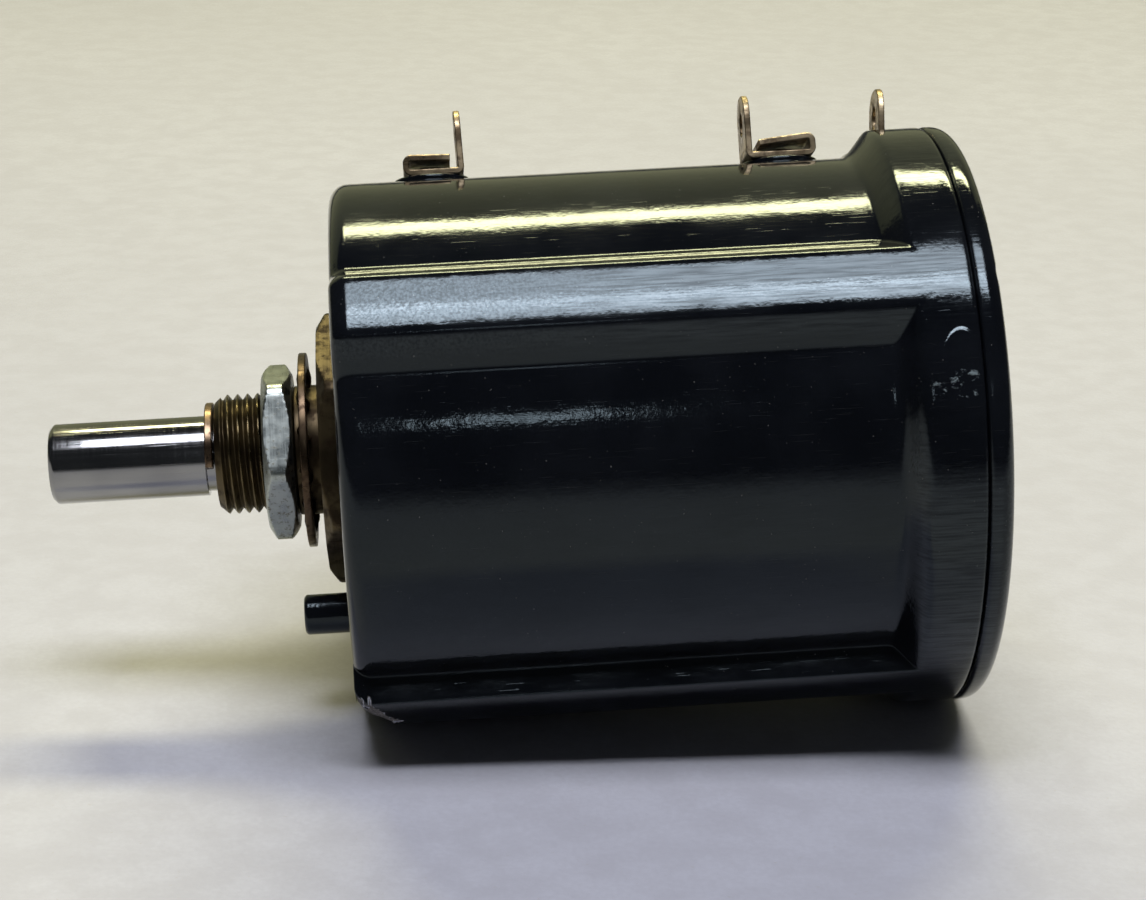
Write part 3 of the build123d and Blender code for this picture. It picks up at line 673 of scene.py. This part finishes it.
def build_washer():
    centre, half, soft = -1.25, 0.3, 0.08
    rows = [
        (centre - half + soft, 6.4), (centre - half, 6.4 + soft), (centre - half, 7.75 - soft),
        *arc(centre - half + soft, 7.75 - soft, soft, 180, 90, 4), *arc(centre + half - soft, 7.75 - soft, soft, 90, 0, 4),
        (centre + half, 6.4 + soft), (centre + half - soft, 6.4),
    ]
    parts = [turned("washer_ring", rows)]
    for k in range(12):
        bm = bmesh.new()
        loops = []
        for t in np.linspace(0, 1, 6):
            radius = 6.75 - t * 1.5
            twist = radians(55) * min(1.0, t * 1.6)
            wide, thick = 0.78 - 0.16 * t, 0.24 - 0.02 * t
            ring = []
            for u, v in ((1, 0.6), (0.85, 1), (-0.85, 1), (-1, 0.6), (-1, -0.6), (-0.85, -1), (0.85, -1), (1, -0.6)):
                side, along = u * wide, v * thick
                x = centre + along * cos(twist) + side * sin(twist) * 0.86
                ring.append(bm.verts.new((x, radius, side * cos(twist) - along * sin(twist))))
            loops.append(ring)
        for a, b in zip(loops, loops[1:]):
            for i in range(8):
                bm.faces.new((a[i], a[(i + 1) % 8], b[(i + 1) % 8], b[i]))
        bm.faces.new(loops[0])
        bm.faces.new(loops[-1])
        tooth = bpy.data.meshes.new("tooth")
        bm.to_mesh(tooth)
        bm.free()
        parts.append(moved(tooth, Matrix.Rotation(radians(30 * k), 4, "X")))
    finished("toothed_washer", joined("toothed_washer", parts), BRONZE, "washer", ["lock_washer"])


build_washer()


def section_sweep(name, sections):
    """A mesh through a list of equal rings of points, capped at both ends."""
    count = len(sections[0])
    points = [tuple(p) for ring in sections for p in ring]
    faces = [
        (k * count + i, k * count + (i + 1) % count, (k + 1) * count + (i + 1) % count, (k + 1) * count + i)
        for k in range(len(sections) - 1)
        for i in range(count)
    ]
    faces.append(tuple(range(count)))
    faces.append(tuple(range((len(sections) - 1) * count, len(sections) * count)))
    mesh = bpy.data.meshes.new(name)
    mesh.from_pydata(points, [], faces)
    return mesh


def build_ring():
    sections = []
    for degrees in np.linspace(236.5 + 58, 236.5 + 360 - 58, 61):
        from_end = min(degrees - 294.5, 538.5 - degrees)
        outer = 4.2 - 0.5 * max(0.0, 1 - from_end / 6) ** 2
        inner = 2.86 + 0.25 * max(0.0, 1 - from_end / 6) ** 2
        ring = []
        for r, x in ((inner, -9.1), (inner + 0.06, -9.15), (outer - 0.08, -9.15), (outer, -9.07), (outer, -8.63), (outer - 0.08, -8.55), (inner + 0.06, -8.55), (inner, -8.6)):
            ring.append((x, r * cos(radians(degrees)), r * sin(radians(degrees))))
        sections.append(ring)
    finished("snap_ring", section_sweep("snap_ring", sections), SPRING_BRONZE, "rotor", ["retaining_ring"])


build_ring()


def build_shaft():
    rows = [
        (-21.5, 2.7), (-21.49, 2.78), (-21.44, 2.86), (-21.2, 3.1), (-21.12, 3.155), (-21.0, 3.175), (-15.0, 3.175),
        (-9.22, 3.175), (-9.2, 3.155), (-9.2, 2.84), (-9.18, 2.82), (-8.52, 2.82), (-8.5, 2.84), (-8.5, 3.175),
        (20.0, 3.175), (45.9, 3.175), (45.9, 2.0), (49.6, 2.0), (49.8, 1.8),
    ]
    finished("turned_shaft", turned("turned_shaft", rows, closed=False), STAINLESS, "rotor", ["shaft"])


build_shaft()

# Terminals ---------------------------------------------------------------------------------

LUG_TOP = 26.75
LUG_HALF = 2.4
STRIP = 0.5
EYE_R = 0.95
EYE_DROP = 2.3


def rounded_path(points, radii):
    """The polyline with its inner corners rounded, as closely spaced (x, r) points."""
    path = [Vector(points[0])]
    for before, corner, after, radius in zip(points, points[1:], points[2:], radii):
        before, corner, after = Vector(before), Vector(corner), Vector(after)
        start, end = (before - corner).normalized(), (after - corner).normalized()
        half = start.angle(end) / 2
        reach = radius / np.tan(half)
        centre = corner + (start + end).normalized() * (radius / sin(half))
        first, last = corner + start * reach - centre, corner + end * reach - centre
        for t in np.linspace(0, 1, 7):
            swept = first.lerp(last, t).normalized() * radius
            path.append(centre + swept)
    path.append(Vector(points[-1]))
    return path


def terminal_point(x, side, radius, lean):
    """A point of a terminal: along the shaft, sideways and outward; lean tips its top towards the front."""
    b = radians(TERMINAL_ANGLE)
    x -= lean * max(0.0, radius - SEAT_R - STRIP) / (LUG_TOP - SEAT_R - STRIP)
    return x, radius * cos(b) - side * sin(b), radius * sin(b) + side * cos(b)


def strip_sections(path, half_width, lean_from, lean):
    sections = []
    for i, p in enumerate(path):
        run = (path[min(i + 1, len(path) - 1)] - path[max(i - 1, 0)]).normalized()
        across = Vector((-run.y, run.x))
        ring = []
        half, soft = STRIP / 2, 0.07
        for u, v in (
            (half_width, half - soft), (half_width - soft, half), (-half_width + soft, half), (-half_width, half - soft),
            (-half_width, -half + soft), (-half_width + soft, -half), (half_width - soft, -half), (half_width, -half + soft),
        ):
            q = p + across * v
            ring.append(terminal_point(q.x, u, q.y, lean if i < lean_from else 0.0))
        sections.append(ring)
    return sections


def eye_plate(lug_x, lean):
    """The lug's upper end, a plate round the eye, in rings from the hole to the outline and back."""
    centre = LUG_TOP - EYE_DROP
    half, soft = STRIP / 2, 0.07
    around = np.radians(np.arange(0, 360, 5))
    outline = []
    for a in around:
        c, s = abs(cos(a)), abs(sin(a))
        if sin(a) > 0:
            outline.append((abs(c / 2.4) ** 2.3 + abs(s / EYE_DROP) ** 2.3) ** (-1 / 2.3))
        else:
            outline.append(min(LUG_HALF / max(c, 1e-6), LUG_HALF / max(s, 1e-6)))
    outline = np.array(outline)
    rings = (
        (EYE_R + soft, half), (outline - soft, half), (outline, half - soft), (outline, -half + soft),
        (outline - soft, -half), (EYE_R + soft, -half), (EYE_R, -half + soft), (EYE_R, half - soft),
    )
    points, faces = [], []
    for reach, depth in rings:
        reach = np.broadcast_to(reach, around.shape)
        points += [
            terminal_point(lug_x + depth, r * cos(a), centre + r * sin(a), lean) for r, a in zip(reach, around)
        ]
    count = len(around)
    for k in range(len(rings)):
        for i in range(count):
            j, m = (i + 1) % count, (k + 1) % len(rings)
            faces.append((k * count + i, k * count + j, m * count + j, m * count + i))
    mesh = bpy.data.meshes.new("eye_plate")
    mesh.from_pydata(points, [], faces)
    return mesh


def build_terminal(name, node, lug_front, foot_end, gap, drop, lean):
    towards = 1 if foot_end > lug_front else -1
    lug_x = lug_front + STRIP / 2
    foot_r = SEAT_R + STRIP / 2
    end = foot_end - towards * STRIP / 2
    flap_end = lug_x + towards * (STRIP / 2 + 0.6)
    top = foot_r + STRIP + gap
    path = rounded_path(
        [(lug_x, LUG_TOP - EYE_DROP - LUG_HALF), (lug_x, foot_r), (end, foot_r), (end, top), (flap_end, top - drop)],
        (0.32, 0.42, 0.42),
    )
    meshes = [section_sweep("strip", strip_sections(path, LUG_HALF, 2, lean)), eye_plate(lug_x, lean)]
    finished(name, joined(name, meshes), TINNED, "case", [node])


build_terminal("front_lug", "front_terminal", 11.98, 7.6, 0.7, 0.1, 0.15)
build_terminal("rear_lug", "rear_terminal", 35.2, 40.85, 0.9, 0.42, 0.0)
build_terminal("wiper_lug", "wiper_terminal", 45.95, 48.7, 0.7, 0.1, -0.3)


def build_rivets():
    heads = []
    for station, share in RIVETS:
        rows = [
            (-1.6, 1.1), (0.5, 1.1), (0.5, 1.6), (0.56, 1.65), (0.7, 1.6), (0.8, 1.42), (0.85, 1.15), (0.84, 0.85),
            (0.74, 0.65), (0.55, 0.55), (0.5, 0.3),
        ]
        rows = [(x, r * share) for x, r in rows]
        heads.append(moved(turned("rivet", rows, closed=False), outward(station, SEAT_R, TERMINAL_ANGLE)))
    finished("rivet_heads", joined("rivet_heads", heads), BUSHING_BRASS, "case", ["terminal_rivets"])


build_rivets()

# Table and light ----------------------------------------------------------------------------

TABLE_TILT = np.arctan2(OUTER_R - FLOOR_R, 44.9 - 3.2)  # the unit rests on its flange and its nose


def build_table():
    size = 6000.0
    mesh = bpy.data.meshes.new("table")
    bm = bmesh.new()
    bmesh.ops.create_grid(bm, x_segments=8, y_segments=8, size=size)
    bm.to_mesh(mesh)
    bm.free()
    place = Matrix.Translation((3.2, 0, -FLOOR_R - 0.02)) @ Matrix.Rotation(TABLE_TILT, 4, "Y")
    mesh.transform(Matrix.Scale(MM, 4) @ place)
    mesh.materials.append(tabletop())
    table = bpy.data.objects.new("table", mesh)
    bpy.context.scene.collection.objects.link(table)


build_table()


def area_light(name, altitude, distance, x, size, power, colour):
    """A soft rectangular light. Its altitude is the angle up from the viewer's side, over the top to the back."""
    data = bpy.data.lights.new(name, "AREA")
    data.shape = "RECTANGLE"
    data.size, data.size_y = size
    data.energy = power
    data.color = colour
    light = bpy.data.objects.new(name, data)
    bpy.context.scene.collection.objects.link(light)
    a = radians(altitude)
    back = Vector((0, -cos(a), sin(a)))
    place = Matrix((Vector((1, 0, 0)), back.cross(Vector((1, 0, 0))), back)).transposed().to_4x4()
    place.translation = back * distance + Vector((x, 0, 0))
    light.matrix_world = place


area_light("warm_lamp", 123.5, 0.8, 0.12, (0.60, 0.10), 5.4, (1.0, 0.94, 0.54))
area_light("window", 77.5, 0.8, 0.08, (0.54, 0.22), 3.7, (0.88, 0.91, 1.0))
area_light("window_sill", 68.0, 0.8, 0.08, (0.54, 0.11), 2.6, (0.88, 0.91, 1.0))
area_light("near_glow", 26.5, 0.7, 0.040, (0.05, 0.026), 0.034, (0.85, 0.92, 1.0))
area_light("back_wall", 152.0, 1.3, 0.0, (2.6, 1.2), 2.9, (1.0, 1.0, 0.52))

world = bpy.data.worlds.new("room")
bpy.context.scene.world = world
world.use_nodes = True
world.node_tree.nodes["Background"].inputs["Color"].default_value = (0.85, 0.92, 1.0, 1.0)
world.node_tree.nodes["Background"].inputs["Strength"].default_value = 0.04
bpy.context.scene.view_settings.view_transform = "Standard"
